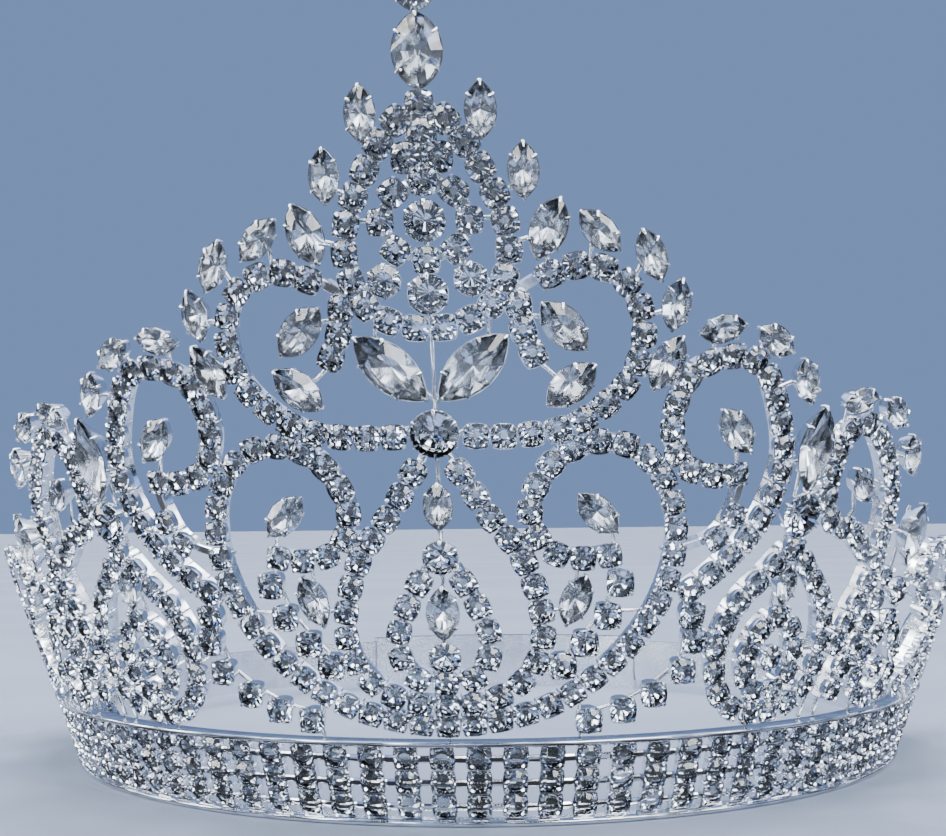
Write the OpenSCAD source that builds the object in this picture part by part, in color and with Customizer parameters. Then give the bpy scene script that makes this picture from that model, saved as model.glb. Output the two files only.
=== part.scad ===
// Rhinestone tiara. The origin is the centre of the ring, on the surface that it rests on.
// The front leans outward on a cone. The pattern is drawn flat, as x (arc length from its motif's
// azimuth) and v (height up the slope), and wall() wraps it on the cone. t is the depth behind
// the plane of the stones' tables. The front faces -Y and the wearer's head is inside the ring.

/* [Head band] */
// Radius of the band's front at its bottom edge
ring_r = 94; // [90:1:98]
// Outward lean of the front, in degrees
lean = 20; // [16:1:24]
// Angle from the front centre to each end of the stone band
band_half_arc = 93; // [91:1:97]
// Height of the stone band, up the slope
band_h = 16.2; // [15.4:0.2:16.2]
// Number of stone columns in the band
columns = 51; // [41:2:51]
// Width of a column of stone cups
column_w = 4.2; // [3.6:0.1:4.6]
// Height of each of the band's two rails
rail_h = 1.1; // [0.9:0.1:1.4]
// Depth of the rails
rail_depth = 4.2; // [3.8:0.1:4.6]
// Height of the level bar between the columns
bar_h = 1; // [0.8:0.1:1.4]

/* [Back band] */
// Height of the plain back strips
strip_h = 11.5; // [10:0.5:12]
// Thickness of the plain back strips
strip_t = 1.2; // [1:0.1:1.4]
// Height of the middle of the strips
strip_mid = 8.5; // [7.5:0.5:8.5]
// Height of the size sleeve
sleeve_h = 15.5; // [14.5:0.5:17]
// Angle that the size sleeve covers
sleeve_arc = 50; // [40:2:56]
// Length of strip inside the sleeve on each side, as an angle
strip_inside = 16; // [8:1:19]

/* [Scrollwork] */
// Width of the cup chain on the strips' front edge
chain_w = 3.8; // [3.2:0.1:3.8]
// Depth of the strips' back edge
strip_back = 4.4; // [4.4:0.1:5]
// Thickness of the strips' back edge
strip_edge = 1.2; // [1:0.1:1.6]
// Spacing of the rings that a strip is drawn with
step = 4; // [3.8:0.1:5]
// Width of the small link bars
link_w = 1.2; // [1:0.1:1.6]

/* [Hidden] */
chain_front = 0.4;
link_front = 3.4;
link_back = 4.1;
web_front = 0.5;
web_back = 2.6;
window_edge = 0.15;
gap = 0.1;
foot_gap = 0.25;
foot_v = band_h + foot_gap - link_front * tan(lean);
over_one = 0.1;
over_two = 0.2;
cup_rim = 0.4;
cup_back = 4.25;
cup_sides = 6;
girdle_t = 0.9;
crown_share = 0.16;
pavilion_share = 0.35;
pavilion_most = 2.35;
table_share = 0.56;
small_cup = 4.4;
sub = 6;
pitch_angle = 3.667;
column_shift = -0.74;

// A stone's row is: name, motif azimuth, x, v, angle of its long axis, length, width
CENTRE_STONES = [
    ["finial_round", 0, 0, 136, 0, 5.6, 5.6],
    ["finial_navette", 0, 0, 127.6, 90, 11, 7.6],
    ["crest_round", 0, 0, 103, 0, 6.4, 6.4],
    ["bridge_round", 0, 0, 91.9, 0, 6.3, 6.3],
    ["centre_round", 0, 0, 69.7, 0, 7.8, 7.8],
    ["upright_navette", 0, 0, 57.6, 90, 8, 4.8],
    ["drop_round", 0, 0, 48.9, 0, 5.8, 5.8],
    ["drop_navette", 0, 0, 39.1, 90, 9.6, 5.6],
    ["drop_base_round", 0, 0, 31.2, 0, 5.4, 5.4]
];

PAIR_STONES = [
    ["crown_navette_1", 0, 9, 119.1, 90, 8.4, 4.8],
    ["crown_navette_2", 0, 15.1, 110.3, 90, 8.4, 4.8],
    ["crown_navette_3", 0, 18.7, 101.7, 68, 10, 5.8],
    ["crown_navette_4", 0, 26.6, 101.4, -44, 8.4, 4.8],
    ["crown_navette_5", 0, 34.8, 97.9, -68, 8.4, 4.8],
    ["crown_navette_6", 0, 38.9, 90.3, 78, 8.4, 4.8],
    ["crown_navette_7", 0, 37.5, 81, 60, 10, 5.4],
    ["wing_navette", 0, 6.5, 80.3, 43, 15, 7.4],
    ["scroll_navette", 0, 20.8, 86.7, -47, 10, 6],
    ["scroll_end_navette", 0, 21.8, 77.4, 40, 10, 5.8],
    ["bowl_end_navette", 0, 25.9, 56.2, -46, 9, 5.4],
    ["bowl_navette", 0, 22, 41.2, 68, 9.4, 5.2],
    ["tier_navette", 24, 0.6, 70, -48, 9.4, 5.4],
    ["medallion_navette", 32.5, 0, 67.1, 90, 15, 7.4]
];

// The smaller stones of each side, with the same columns after the name
SIDE_STONES = [
    [0, 6.7, 94.1, 0, 5.2, 5.2],
    [24, -4.8, 86.7, 12, 8, 4.6],
    [24, 5.3, 85.2, -28, 8, 4.6],
    [24, 12.9, 78.7, -68, 8, 4.6],
    [32.5, 0, 55.2, 0, 7.8, 7.8],
    [32.5, 0, 42.6, 90, 7.4, 4.4],
    [32.5, 0, 29, 0, 4.8, 4.8],
    [39, 0.4, 60.8, -47, 8, 4.6],
    [39, -5.6, 75.7, 12, 8, 4.6],
    [39, 4.5, 74, -32, 8, 4.6],
    [39, 12.5, 66.5, -66, 8, 4.6],
    [50, 0, 51.2, 90, 12, 6.4],
    [50, 0, 40, 0, 5.6, 5.6],
    [50, 0, 24.8, 0, 4.6, 4.6],
    [60, -0.5, 35, 0, 4.8, 4.8],
    [69, 0, 31.9, 0, 5.6, 5.6],
    [69, 0, 22.6, 0, 4, 4],
    [83, 0, 21.6, 0, 4.6, 4.6]
];

SIDES = [["left", 1], ["right", 0]];

// The cone

// Point of the leaning front: azimuth a of the motif, arc length x from it, slope height v, depth t
function wall(a, x, v, t) =
    let (front_r = ring_r + v * sin(lean),
         az = a + x / front_r * 180 / PI,
         r = front_r - t * cos(lean))
    [r * sin(az), -r * cos(az), v * cos(lean) + t * sin(lean)];

// Point of the band's upright section, at the height of the front's v and the depth t straight back
function level(v, t) = [ring_r + v * sin(lean) - t, v * cos(lean)];

// Curves

// Smooth curve through the points p, with sub steps between two of them
function curve(p, closed) =
    let (n = len(p))
    concat(
        [for (i = [0:closed ? n - 1 : n - 2], k = [0:sub - 1])
            let (u = k / sub,
                 a = closed ? p[(i + n - 1) % n] : p[max(i - 1, 0)],
                 b = p[i],
                 c = p[(i + 1) % n],
                 d = closed ? p[(i + 2) % n] : p[min(i + 2, n - 1)])
            b + u / 2 * (c - a + u * (2 * a - 5 * b + 4 * c - d + u * (3 * (b - c) + d - a)))],
        [closed ? p[0] : p[n - 1]]
    );

// Length travelled along the points d, at each of them
function travel(d) =
    [for (i = 0, s = 0; i < len(d); s = i + 1 < len(d) ? s + norm(d[i + 1] - d[i]) : s, i = i + 1) s];

// Points evenly spaced along the curve through p
function route(p, closed) =
    let (d = curve(p, closed),
         s = travel(d),
         total = s[len(s) - 1],
         n = max(round(total / step), 1),
         xs = [for (i = [0:len(d) - 1]) [s[i], d[i][0]]],
         vs = [for (i = [0:len(d) - 1]) [s[i], d[i][1]]])
    [for (k = [0:closed ? n - 1 : n]) [lookup(total * k / n, xs), lookup(total * k / n, vs)]];

// A half pattern that starts on the motif's middle line, carried on to the other side
function both_ways(p) = concat([for (i = [len(p) - 1:-1:1]) [-p[i][0], p[i][1]]], p);

// A half pattern that starts and ends on the middle line, closed into a loop
function loop(p) = concat(p, [for (i = [len(p) - 2:-1:1]) [-p[i][0], p[i][1]]]);

// Outline of a stone: a circle, or the pointed form of two arcs
function outline(length, width, n) =
    let (a = length / 2,
         b = width / 2,
         arc_r = (a * a + b * b) / (2 * b))
    [for (k = [0:n - 1])
        let (x = a * cos(360 * k / n),
             y = sqrt(arc_r * arc_r - x * x) - (arc_r - b))
        [x, sin(360 * k / n) < 0 ? -y : y]];

// Depth of a stone behind its girdle
function pavilion(width) = min(pavilion_share * width, pavilion_most);

function turned(p, angle) =
    [for (q = p) [q[0] * cos(angle) - q[1] * sin(angle), q[0] * sin(angle) + q[1] * cos(angle)]];

// Solids

// Closed solid through rings of points, with flat ends or joined into a loop
module loft(rings, closed = false) {
    n = len(rings[0]);
    k = len(rings);
    sides = [for (i = [0:closed ? k - 1 : k - 2], j = [0:n - 1])
        let (a = i * n + j,
             b = i * n + (j + 1) % n,
             c = (i + 1) % k * n + (j + 1) % n,
             d = (i + 1) % k * n + j)
        each [[a, c, b], [a, d, c]]];
    caps = closed ? [] : [[for (j = [0:n - 1]) j], [for (j = [n - 1:-1:0]) (k - 1) * n + j]];
    polyhedron([for (r = rings) each r], concat(sides, caps));
}

// A strip on edge with its cup chain in front, along the curve through the points p, set back by sink
module strand(a, p, closed = false, sink = 0) {
    q = route(p, closed);
    n = len(q);
    half = chain_w / 2;
    edge = strip_edge / 2;
    front = chain_front + sink;
    back = strip_back + sink;
    profile = [[-half, front], [half, front], [edge, back], [-edge, back]];
    loft([for (i = [0:n - 1])
        let (before = closed ? q[(i + n - 1) % n] : q[max(i - 1, 0)],
             after = closed ? q[(i + 1) % n] : q[min(i + 1, n - 1)],
             way = (after - before) / norm(after - before))
        [for (c = profile) wall(a, q[i][0] + way[1] * c[0], q[i][1] - way[0] * c[0], c[1])]],
        closed);
}

// Flat-ended prism of a flat outline, from depth front to depth back
module plate(a, x, v, shape, front, back) {
    hull() loft([for (t = [front, back]) [for (c = shape) wall(a, x + c[0], v + c[1], t)]]);
}

// Three-sided link bars from each point to the next, behind the stones
module links(a, p) {
    for (i = [0:len(p) - 2]) {
        way = p[i + 1] - p[i];
        length = norm(way);
        side = [way[1], -way[0]] / length * link_w / 2;
        ends = [for (c = [p[i], p[i + 1]])
            [wall(a, c[0] - side[0], c[1] - side[1], link_front),
             wall(a, c[0] + side[0], c[1] + side[1], link_front),
             wall(a, c[0], c[1], link_back)]];
        hull() loft(ends);
    }
}

// Cups of single small stones, on link bars from one to the next
module stone_row(a, p) {
    links(a, p);
    for (c = p)
        plate(a, c[0], c[1], outline(small_cup, small_cup, cup_sides), chain_front, cup_back);
}

// Cup behind a large stone given as [azimuth, x, v, angle, length, width]
module cup(s) {
    shape = turned(outline(s[4] + cup_rim, s[5] + cup_rim, cup_sides), s[3]);
    plate(s[0], s[1], s[2], shape, girdle_t + pavilion(s[5]) + gap, cup_back);
}

// Cut stone with a table, crown facets, a sharp girdle and pavilion facets down to a point
module cut_stone(s) {
    n = s[4] == s[5] ? 10 : 12;
    girdle = turned(outline(s[4], s[5], n), s[3]);
    table_t = girdle_t - crown_share * s[5];
    back_t = girdle_t + pavilion(s[5]);
    hull() loft([
        [for (c = girdle) wall(s[0], s[1] + c[0] * table_share, s[2] + c[1] * table_share, table_t)],
        [for (c = girdle) wall(s[0], s[1] + c[0], s[2] + c[1], girdle_t)],
        [for (c = girdle) wall(s[0], s[1], s[2], back_t)]
    ]);
}

module both_sides() {
    children();
    mirror([1, 0, 0]) children();
}

// Scrollwork motifs

// The pear at the top with its ring of eight stones, and the finial above it
module pear() {
    strand(0, loop([[0, 120], [5, 116.4], [8.9, 110.4], [12, 103.5], [12.5, 97], [10, 90.5],
                    [5, 87.3], [0, 86.6]]), true);
    strand(0, [for (k = [0:7]) [6.8 * sin(45 * k), 103 + 5.9 * cos(45 * k)]], true);
    links(0, [[0, 137], [0, 109]]);
    links(0, [[0, 103], [0, 68]]);
    both_sides() {
        stone_row(0, [[0, 115.8], [2.3, 112.4]]);
        links(0, [[2.3, 112.4], [2.4, 108.2]]);
        links(0, [[5.5, 103], [12.4, 103]]);
        links(0, [[4, 98.6], [6.7, 94.8], [11, 92.5]]);
        links(0, [[8.8, 117], [6, 113.8]]);
        links(0, [[15, 108], [10.5, 106.6]]);
        links(0, [[18, 100.5], [12.5, 99]]);
        links(0, [[9, 83.2], [9.5, 90]]);
        links(0, [[3, 77.4], [0, 74.5]]);
    }
}

// The round scroll beside the pear, its inner branch and the level bar to the centre stone
module upper_scroll() {
    strand(0, [[13, 91.5], [18.5, 94.6], [25, 96.2], [31, 93.4], [33.6, 87], [32, 79.5], [27, 74],
               [21, 70.6], [14, 69.3], [8, 69.2], [4.4, 69.4]], sink = over_one);
    strand(0, [[13.6, 92], [14.5, 86], [16.8, 80.5]], sink = over_two);
    links(0, [[16.5, 81], [19.5, 78.4], [22, 77.4]]);
    links(0, [[20, 87.2], [14.4, 88.2]]);
    links(0, [[18.4, 99.6], [19, 94.8]]);
    links(0, [[26, 100.4], [25.6, 96]]);
    links(0, [[34.2, 96.4], [31.6, 92.2]]);
    links(0, [[38.6, 89], [33.4, 87.6]]);
    links(0, [[37, 79.4], [32, 79.6]]);
    links(0, [[20.5, 70.6], [20.5, 66.2]]);
}

// The centre teardrop: an outer one that opens at the top, and a closed one inside it
module teardrop() {
    strand(0, both_ways([[0, 22.4], [5.5, 22.9], [11.5, 25.6], [15.6, 31], [16.4, 38.5], [13.4, 48.6],
                         [7.8, 56.5], [4.6, 62], [2.4, 65.2]]));
    strand(0, both_ways([[0, 26.6], [5.4, 27.8], [7.7, 33.5], [5.8, 40.4], [2.5, 46.5]]));
    both_sides() links(0, [[2.6, 46.3], [0, 48]]);
    links(0, [[0, 68], [0, 47]]);
    links(0, [[0, 47], [0, foot_v]]);
    both_sides() links(0, [[2.6, 64.9], [0, 67], [4.6, 69.4]]);
}

// The bowl under the teardrop, which rises into a curl on each side
module bowl() {
    strand(0, both_ways([[0, 18.7], [8.6, 19.6], [17.4, 22.2], [25, 27], [31.6, 33.3], [36.6, 41],
                         [39.2, 50], [38.4, 59], [33.6, 66], [27.4, 68.2], [20.6, 66.4], [16.2, 61.4],
                         [14.8, 55.6], [17.4, 50.2], [23, 48.4], [30, 49.2]]), sink = over_one);
    both_sides() {
        links(0, [[14, 50], [17, 50.6]]);
        links(0, [[28.4, 53.6], [29.6, 49.4]]);
        links(0, [[22.6, 43], [23.4, 48.6]]);
        links(0, [[20.4, 38.4], [15.8, 38]]);
        stone_row(0, [[29.6, 44], [27.4, 38.2], [23.4, 33.4], [19.6, 29.4]]);
        links(0, [[29.8, 49], [29.6, 44]]);
        links(0, [[19.6, 29.4], [14.8, 29.6]]);
        links(0, [[28, 38], [34.8, 38]]);
    }
}

// The single stones that run from the second scroll down to a foot on the rail
module rail_chain() {
    stone_row(0, [[43, 33.2], [41, 27.6], [35.6, 23.6], [30, 20.9], [24, 19.3]]);
    links(0, [[24, 19.3], [23, foot_v]]);
    links(24, [[-4.7, 41.2], [-2, 38.4], [-1.1, 33.2]]);
    links(0, [[24, 19.3], [20.6, 24]]);
}

// The second scroll, with its tail and the branch that meets the bowl
module middle_scroll() {
    strand(24, [[4, 62.8], [-2.6, 62.4], [-8.6, 64.8], [-11.2, 72], [-8.8, 79.4], [-2, 82.4], [4, 80.4],
                [8.4, 73], [10.7, 65], [8.8, 56], [3.4, 48], [-4.9, 41.2]]);
    strand(24, [[4, 62.4], [3.4, 57.2], [0.6, 51.6], [-6.6, 49]], sink = over_two);
    links(24, [[2.4, 67.4], [3.6, 62.8]]);
    links(24, [[-4.8, 86], [-4.4, 82]]);
    links(24, [[5, 84.6], [3.6, 80.6]]);
    links(24, [[12.4, 78], [7.2, 76]]);
    links(24, [[-9.4, 65], [-12.4, 62]]);
    links(24, [[-5, 49], [-8.8, 49]]);
    links(24, [[-4.4, 41.4], [-9, 41.6]]);
    links(24, [[10.6, 64], [18.5, 64]]);
}

// The side medallion: a teardrop loop with a smaller loop inside it
module medallion() {
    strand(32.5, loop([[0, 49.2], [4.8, 44.6], [9.7, 39.2], [12, 31.5], [10.4, 24], [5.8, 19.6],
                       [0, 18.6]]), true);
    strand(32.5, loop([[0, 36.8], [3.9, 33.6], [5.4, 28.6], [3.8, 23.8], [0, 22.4]]), true);
    links(32.5, [[0, 66], [0, foot_v]]);
    links(32.5, [[0, 57.5], [5.2, 58.5]]);
}

// The third scroll, its tail down to the medallion's foot, and the branch beside the tail
module outer_scroll() {
    strand(39, [[0.4, 53], [-4.4, 53.4], [-7.6, 58], [-7.8, 65.6], [-5.8, 70.4], [-1, 71.4], [4.6, 66.6],
                [9, 60], [10.4, 51.6], [10, 43.4], [6.6, 35.4], [3.6, 28.4]], sink = over_one);
    strand(39, [[0.6, 52.8], [4.6, 49], [9.6, 45.6]], sink = over_two);
    strand(39, [[15.2, 45.4], [13.8, 38], [10.8, 30.6], [8, 24.4], [6.4, 19]], sink = over_two);
    links(39, [[1.4, 59.6], [3, 55], [1, 53]]);
    links(39, [[-5.6, 75], [-5.4, 71]]);
    links(39, [[4.2, 73], [2.2, 69]]);
    links(39, [[12, 65.8], [7.2, 63]]);
    links(39, [[10.4, 51], [21.5, 51]]);
    links(39, [[3.4, 29], [-1.4, 29]]);
    links(39, [[3.8, 29], [2.4, foot_v]]);
    links(39, [[14, 39], [8.6, 39.6]]);
    links(39, [[7, 21], [6.6, foot_v]]);
}

// The small medallion: a large pointed stone over a round one over a small teardrop
module small_medallion() {
    strand(50, loop([[0, 34.4], [4.4, 30], [6.8, 24.8], [4.6, 20], [0, 18.4]]), true);
    links(50, [[0, 56], [0, 32]]);
    links(50, [[0, 32], [0, foot_v]]);
}

// The open scroll, the two round stones after it and the foot on the rail
module open_scroll() {
    strand(60, [[-3, 38.6], [-6.6, 38.4], [-9.4, 42.4], [-6, 47.4], [0, 48.4], [7, 45], [10.6, 38.2],
                [8.6, 29.4], [2, 23], [-6, 18.6]]);
    links(60, [[-3.4, 38.4], [-0.5, 35]]);
    links(60, [[-9, 41], [-18, 41]]);
    links(60, [[-5, 19], [-5, foot_v]]);
    links(60, [[-5, 19.4], [-14, 22]]);
}

// The cluster at the side: a round stone, a ring round a small one and the foot between the scrolls
module side_cluster() {
    strand(69, [for (k = [0:5]) [4.3 * sin(60 * k), 22.6 + 4.3 * cos(60 * k)]], true);
    links(69, [[0, 32], [0, foot_v]]);
    links(69, [[-7, 31], [0, 31]]);
    links(69, [[0, 31], [9, 18.4]]);
}

// The last scroll, which falls to the end of the stone band
module end_scroll() {
    strand(83, [[-15.5, 18.6], [-9, 23.6], [-2, 29.4], [5, 30.6], [11.4, 26], [11.6, 19.6]]);
    links(83, [[0, 20], [11.4, 20]]);
    links(83, [[11.4, 22], [11.4, foot_v]]);
    links(83, [[-15, 19.2], [-15, foot_v]]);
}

// Pieces

// Flared head band with two rails, upright columns of cups and a level bar between them
module band_frame() {
    window_w = ring_r * pitch_angle * PI / 180 - column_w;
    heights = [[rail_h + window_edge, band_h / 2 - bar_h / 2],
               [band_h / 2 + bar_h / 2, band_h - rail_h - window_edge]];
    color("silver") difference() {
        rotate([0, 0, -90 - band_half_arc]) rotate_extrude(angle = 2 * band_half_arc, $fn = 180)
            polygon([
                level(0, 0), level(rail_h, 0), level(rail_h, web_front),
                level(band_h - rail_h, web_front), level(band_h - rail_h, 0),
                level(band_h, 0), level(band_h, rail_depth),
                level(band_h - rail_h, rail_depth), level(band_h - rail_h, web_back),
                level(rail_h, web_back), level(rail_h, rail_depth), level(0, rail_depth)
            ]);
        for (i = [0:columns - 2], h = heights)
            rotate([0, 0, column_shift + pitch_angle * (i + 0.5 - (columns - 1) / 2)])
                rotate([90, 0, -90]) linear_extrude(height = window_w, center = true)
                    polygon([level(h[0], -1), level(h[1], -1), level(h[1], web_back + 1),
                             level(h[0], web_back + 1)]);
    }
}

// Strips, cup chains, link bars and cups, soldered into one
module scrollwork() {
    color("silver") {
        pear();
        teardrop();
        bowl();
        for (s = CENTRE_STONES)
            cup([for (i = [1:6]) s[i]]);
        both_sides() {
            upper_scroll();
            rail_chain();
            middle_scroll();
            medallion();
            outer_scroll();
            small_medallion();
            open_scroll();
            side_cluster();
            end_scroll();
            for (s = PAIR_STONES)
                cup([for (i = [1:6]) s[i]]);
            for (s = SIDE_STONES)
                cup(s);
        }
    }
}

// Curved bar of rectangular section on the ring, from one angle off the front to another
module arc_bar(from, to, inner_r, outer_r, low, high) {
    rotate([0, 0, from - 90]) rotate_extrude(angle = to - from, $fn = 180)
        translate([inner_r, low]) square([outer_r - inner_r, high - low]);
}

// Plain strip from the end of the stone band round into the sleeve
module back_band() {
    start = band_half_arc + gap;
    end = 180 - sleeve_arc / 2 + strip_inside;
    color("silver") arc_bar(start, end, ring_r - strip_t, ring_r,
                            strip_mid - strip_h / 2, strip_mid + strip_h / 2);
}

// Flat tube at the back, in which both strips slide
module size_sleeve() {
    wall_t = 0.8;
    slack = 0.2;
    inner_r = ring_r - strip_t - slack;
    outer_r = ring_r + slack;
    from = 180 - sleeve_arc / 2;
    to = 180 + sleeve_arc / 2;
    color("silver") difference() {
        arc_bar(from, to, inner_r - wall_t, outer_r + wall_t, 0, sleeve_h);
        arc_bar(from - 1, to + 1, inner_r, outer_r,
                strip_mid - strip_h / 2 - slack, strip_mid + strip_h / 2 + slack);
    }
}

band_frame();
scrollwork();
back_band();  // back_band_right
mirror([1, 0, 0]) back_band();  // back_band_left
size_sleeve();
for (s = CENTRE_STONES)
    color("white") cut_stone([for (i = [1:6]) s[i]]);
for (s = PAIR_STONES, side = SIDES)
    color("white") mirror([side[1], 0, 0]) cut_stone([for (i = [1:6]) s[i]]);
for (side = SIDES)
    color("white") mirror([side[1], 0, 0]) for (s = SIDE_STONES) cut_stone(s);
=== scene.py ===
"""Looks of a rhinestone tiara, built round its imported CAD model.

The pattern is drawn flat, as x (arc length in mm from a motif's azimuth), v (height up the slope)
and t (depth behind the plane of the stones' tables), and Cone.wrap() lays it on the leaning front.
All sizes are millimetres until PatternMesh turns them into metres.
"""

import logging
import math
from collections.abc import Iterable, Sequence
from dataclasses import dataclass, field
from enum import Enum

import bmesh
import bpy
import numpy as np
from mathutils import Matrix, Vector


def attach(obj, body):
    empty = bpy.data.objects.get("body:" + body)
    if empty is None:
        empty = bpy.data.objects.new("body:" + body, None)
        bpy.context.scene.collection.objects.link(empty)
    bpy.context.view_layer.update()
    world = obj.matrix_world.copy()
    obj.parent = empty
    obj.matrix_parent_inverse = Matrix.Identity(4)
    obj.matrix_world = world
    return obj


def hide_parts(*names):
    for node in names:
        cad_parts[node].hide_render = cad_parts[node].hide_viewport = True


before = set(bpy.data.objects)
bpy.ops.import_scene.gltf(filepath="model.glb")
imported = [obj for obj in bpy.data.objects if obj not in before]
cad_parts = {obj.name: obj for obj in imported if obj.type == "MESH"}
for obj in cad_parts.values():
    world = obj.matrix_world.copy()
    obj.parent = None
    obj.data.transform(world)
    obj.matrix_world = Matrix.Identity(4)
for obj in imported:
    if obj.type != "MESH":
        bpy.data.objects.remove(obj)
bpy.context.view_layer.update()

LOG = logging.getLogger("tiara")
MM = 0.001

Point = tuple[float, float]
Faces = list[tuple[int, ...]]
Material = bpy.types.Material
Tree = bpy.types.NodeTree
Socket = bpy.types.NodeSocket


# The cone and what is drawn on it


@dataclass(frozen=True)
class Cone:
    """The leaning front of the tiara."""

    ring_r: float = 94.0
    lean: float = math.radians(20)

    def wrap(self, azimuth: float, points: np.ndarray) -> np.ndarray:
        """Lays points of the flat pattern on the cone.

        Args:
            azimuth: the motif's angle from the front centre, in degrees.
            points: rows of x, v and t.

        Returns:
            Rows of X, Y and Z in millimetres.
        """
        x, v, t = np.asarray(points, float).T
        front_r = self.ring_r + v * math.sin(self.lean)
        angle = math.radians(azimuth) + x / front_r
        r = front_r - t * math.cos(self.lean)
        z = v * math.cos(self.lean) + t * math.sin(self.lean)
        return np.column_stack([r * np.sin(angle), -r * np.cos(angle), z])

    def place(self, azimuth: float, x: float, v: float) -> np.ndarray:
        """One point of the front, in millimetres."""
        return self.wrap(azimuth, np.array([[x, v, 0.0]]))[0]


CONE = Cone()


class Side(Enum):
    """On which side of the tiara a part is made: as drawn, mirrored, or both."""

    RIGHT = (1,)
    LEFT = (-1,)
    BOTH = (1, -1)


class Form(Enum):
    """How a strand's drawn points become its whole line."""

    OPEN = "open"
    CLOSED = "closed"
    BOTH_WAYS = "open, mirrored about the motif's middle line"
    LOOP = "closed, mirrored about the motif's middle line"


@dataclass(frozen=True)
class Strand:
    """A strip on edge with a chain of stone cups along its front edge."""

    points: Sequence[Point]
    form: Form = Form.OPEN
    sink: float = 0.0
    count: int = 0

    @property
    def closed(self) -> bool:
        """Whether the strand comes back to its start."""
        return self.form in (Form.CLOSED, Form.LOOP)

    def line(self) -> np.ndarray:
        """The drawn points with their mirrored half, where the form has one."""
        p = np.array(self.points, float)
        flipped = p * [-1, 1]
        if self.form is Form.BOTH_WAYS:
            return np.vstack([flipped[:0:-1], p])
        if self.form is Form.LOOP:
            return np.vstack([p, flipped[-2:0:-1]])
        return p

    def curve(self, sub: int = 6) -> np.ndarray:
        """A smooth curve through the line, with sub steps between two of its points.

        Args:
            sub: how many steps.

        Returns:
            Rows of x and v.
        """
        p = self.line()
        n = len(p)
        out = []
        for i in range(n if self.closed else n - 1):
            if self.closed:
                a, b, c, d = p[i - 1], p[i], p[(i + 1) % n], p[(i + 2) % n]
            else:
                a, b, c, d = p[max(i - 1, 0)], p[i], p[i + 1], p[min(i + 2, n - 1)]
            for u in np.arange(sub) / sub:
                out.append(b + u / 2 * (c - a + u * (2 * a - 5 * b + 4 * c - d + u * (3 * (b - c) + d - a))))
        return np.array(out + [p[0] if self.closed else p[-1]])

    def even(self, shares: np.ndarray) -> np.ndarray:
        """Points at the given shares of the curve's length.

        Args:
            shares: from 0 at the start to 1 at the end.

        Returns:
            Rows of x and v.
        """
        d = self.curve()
        s = np.concatenate([[0], np.cumsum(np.linalg.norm(np.diff(d, axis=0), axis=1))])
        return np.column_stack([np.interp(shares * s[-1], s, d[:, k]) for k in (0, 1)])

    def length(self) -> float:
        """Length of the curve."""
        return float(np.linalg.norm(np.diff(self.curve(), axis=0), axis=1).sum())

    def cups(self, pitch: float) -> int:
        """How many cups the chain has; an odd number on a mirrored strand, as one sits on the middle line."""
        n = self.count or max(round(self.length() / pitch), 1)
        return n - 1 if self.form is Form.BOTH_WAYS and n % 2 == 0 else n

    def jointed(self, pitch: float, joint_w: float) -> tuple[np.ndarray, np.ndarray]:
        """Points along the curve, close together at the joints between the chain's cups.

        Args:
            pitch: the chain's spacing.
            joint_w: the width of a joint.

        Returns:
            The points, and for each 1 in the middle of a joint and 0 elsewhere.
        """
        n = self.cups(pitch)
        first = 0.5 / n if self.closed else 0.0
        side, shares, narrow = joint_w / self.length(), [], []
        for k in range(n):
            at = first + k / n
            if self.closed or k:
                shares += [at - side, at, at + side]
                narrow += [0, 1, 0]
            else:
                shares.append(0.0)
                narrow.append(0)
            shares += [at + q / 4 / n for q in (1, 2, 3)]
            narrow += [0, 0, 0]
        if not self.closed:
            shares.append(1.0)
            narrow.append(0)
        return self.even(np.array(shares) % 1 if self.closed else np.array(shares)), np.array(narrow, float)

    def stones(self, pitch: float) -> tuple[np.ndarray, np.ndarray]:
        """Where the chain's stones sit.

        Args:
            pitch: the chain's spacing.

        Returns:
            The stones' middles, and the chain's direction at each as an angle.
        """
        n = self.cups(pitch)
        start = 0.0 if self.closed else 0.5
        shares = (np.arange(n) + start) / n
        reach = 0.2 / n
        before, after = self.even((shares - reach) % 1), self.even((shares + reach) % 1)
        way = after - before
        if self.closed:
            way[0] = self.even(np.array([reach]))[0] - self.even(np.array([1 - reach]))[0]
        return self.even(shares), np.arctan2(way[:, 1], way[:, 0])


@dataclass(frozen=True)
class Motif:
    """One form of the scrollwork, drawn round its own azimuth."""

    name: str
    azimuth: float
    strands: Sequence[Strand] = ()
    wires: Sequence[Sequence[Point]] = ()
    rows: Sequence[Sequence[Point]] = ()
    side: Side = Side.BOTH


@dataclass(frozen=True)
class Stone:
    """A main stone: a circle, or a pointed oval where length and width differ."""

    name: str
    azimuth: float
    x: float
    v: float
    angle: float
    length: float
    width: float

    @property
    def is_round(self) -> bool:
        """Whether the stone is round."""
        return self.length == self.width

    @property
    def cut(self) -> "Cut":
        """How the stone is cut."""
        return ROUND_CUT if self.is_round else POINTED_CUT


OVER_ONE = 0.1
OVER_TWO = 0.2
RAIL_TOP = 16.2
FOOT_V = 14.9

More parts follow.
